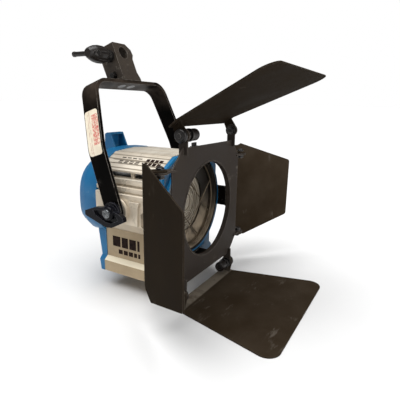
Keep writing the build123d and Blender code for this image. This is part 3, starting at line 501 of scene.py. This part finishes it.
def slab(bm, corners, normal):
    """Thin printed plate over a convex outline."""
    n = Vector(normal).normalized() * PRINT_THICK
    low = [bm.verts.new(Vector(c)) for c in corners]
    top = [bm.verts.new(Vector(c) + n) for c in corners]
    bm.faces.new(low[::-1])
    bm.faces.new(top)
    for i in range(len(low)):
        j = (i + 1) % len(low)
        bm.faces.new((low[i], low[j], top[j], top[i]))


def panel_marks(bm):
    """Printed bars on both side panels of the base: a heavy row over a light row."""
    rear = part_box("base_box")[1][1]
    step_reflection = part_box("housing")[0][2] - 0.0005
    # start before the rear edge, foot and head below the step, gap, widths of the bars
    rows = ((0.0105, 0.0245, 0.0105, 0.0022, (0.0130, 0.0105, 0.0110, 0.0036)),
            (0.0200, 0.0340, 0.0280, 0.0018, (0.0068, 0.0068, 0.0068, 0.0050, 0.0034)))
    for side in (-1, 1):
        x = side * BASE_SIDE
        for start, foot, head, gap, widths in rows:
            y, z0, z1 = rear - start, step_reflection - foot, step_reflection - head
            for width in widths:
                slab(bm, [(x, y, z0), (x, y - width, z0), (x, y - width, z1), (x, y, z1)], (side, 0, 0))
                y -= width + gap


def roof_marks(bm):
    """Small generic bars on the sloping roof faces: heavy ones near the lens, light ticks behind."""
    low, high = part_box("housing")
    crest, slope = Vector((0.037, 0, high[2] - 0.0025)), Vector((0.0295, 0, -0.0175))
    # first and last share of the slope, distance behind the housing's front, width
    bars = [(t0, t1, y, 0.0052) for t0, t1 in ((0.266, 0.416), (0.466, 0.618))
            for y in (0.006, 0.0125, 0.019, 0.0255)]
    bars += [(t, t + 0.045, 0.038 + 0.0085 * i, 0.0060) for t in (0.28, 0.48, 0.56) for i in range(4)]
    for side in (-1, 1):
        normal = (-side * slope.z, 0, slope.x)
        for t0, t1, y, width in bars:
            ends = [crest + slope * t for t in (t0, t1)]
            ys = (low[1] + y, low[1] + y + width)
            corners = [(side * ends[i].x, ys[j], ends[i].z) for i, j in ((0, 0), (1, 0), (1, 1), (0, 1))]
            slab(bm, corners, normal)


mesh_piece("panel_marks", panel_marks, "print", "lamp_head")
mesh_piece("roof_marks", roof_marks, "print", "lamp_head")


# ----------------------------------------------------------------- floor, light
def floor():
    """Plain pale floor just under the lowest leaf, wide enough to meet the horizon."""
    z, s = CAD_BOX[0][2] - FLOOR_GAP, FLOOR_REACH
    mesh = bpy.data.meshes.new("floor")
    mesh.from_pydata([(-s, -s, z), (s, -s, z), (s, s, z), (-s, s, z)], [], [(0, 1, 2, 3)])
    obj = bpy.data.objects.new("floor", mesh)
    scene.collection.objects.link(obj)
    g = Graph("floor")
    g.feed(g.shader.inputs["Base Color"], g.mix(g.noise(6.0), (0.68, 0.68, 0.68), (0.66, 0.66, 0.66)))
    g.shader.inputs["Roughness"].default_value = 0.9
    g.shader.inputs["Specular IOR Level"].default_value = 0.0
    obj.data.materials.append(g.mat)


def area_light(name, place, aim, size, power):
    """Square soft light that looks at a point."""
    lamp = bpy.data.lights.new(name, "AREA")
    lamp.shape, lamp.size, lamp.energy = "SQUARE", size, power
    obj = bpy.data.objects.new(name, lamp)
    scene.collection.objects.link(obj)
    obj.location = place
    obj.rotation_euler = (Vector(aim) - Vector(place)).to_track_quat("-Z", "Y").to_euler()


def sky_light(name, towards, strength, spread):
    """Even light from a wide disc of sky, so that the floor is equally bright everywhere."""
    lamp = bpy.data.lights.new(name, "SUN")
    lamp.energy, lamp.angle = strength, math.radians(spread)
    obj = bpy.data.objects.new(name, lamp)
    scene.collection.objects.link(obj)
    obj.rotation_euler = (-Vector(towards)).to_track_quat("-Z", "Y").to_euler()


def surroundings():
    """White backdrop that lights the part only faintly."""
    world = bpy.data.worlds.new("studio")
    world.use_nodes = True
    scene.world = world
    tree = world.node_tree
    back = tree.nodes["Background"]
    path = tree.nodes.new("ShaderNodeLightPath")
    mix = tree.nodes.new("ShaderNodeMix")
    mix.inputs[2].default_value, mix.inputs[3].default_value = SKY_ON_PART, SKY_IN_VIEW
    tree.links.new(path.outputs["Is Camera Ray"], mix.inputs[0])
    tree.links.new(mix.outputs[0], back.inputs["Strength"])
    back.inputs["Color"].default_value = (1, 1, 1, 1)


floor()
surroundings()
sky_light("overhead", towards=(-0.20, 0.0, 1.0), strength=4.4, spread=60)
area_light("front_fill", place=(-0.2, -1.7, 0.35), aim=(0, 0, -0.2), size=1.0, power=11)
scene.view_settings.view_transform = "Standard"
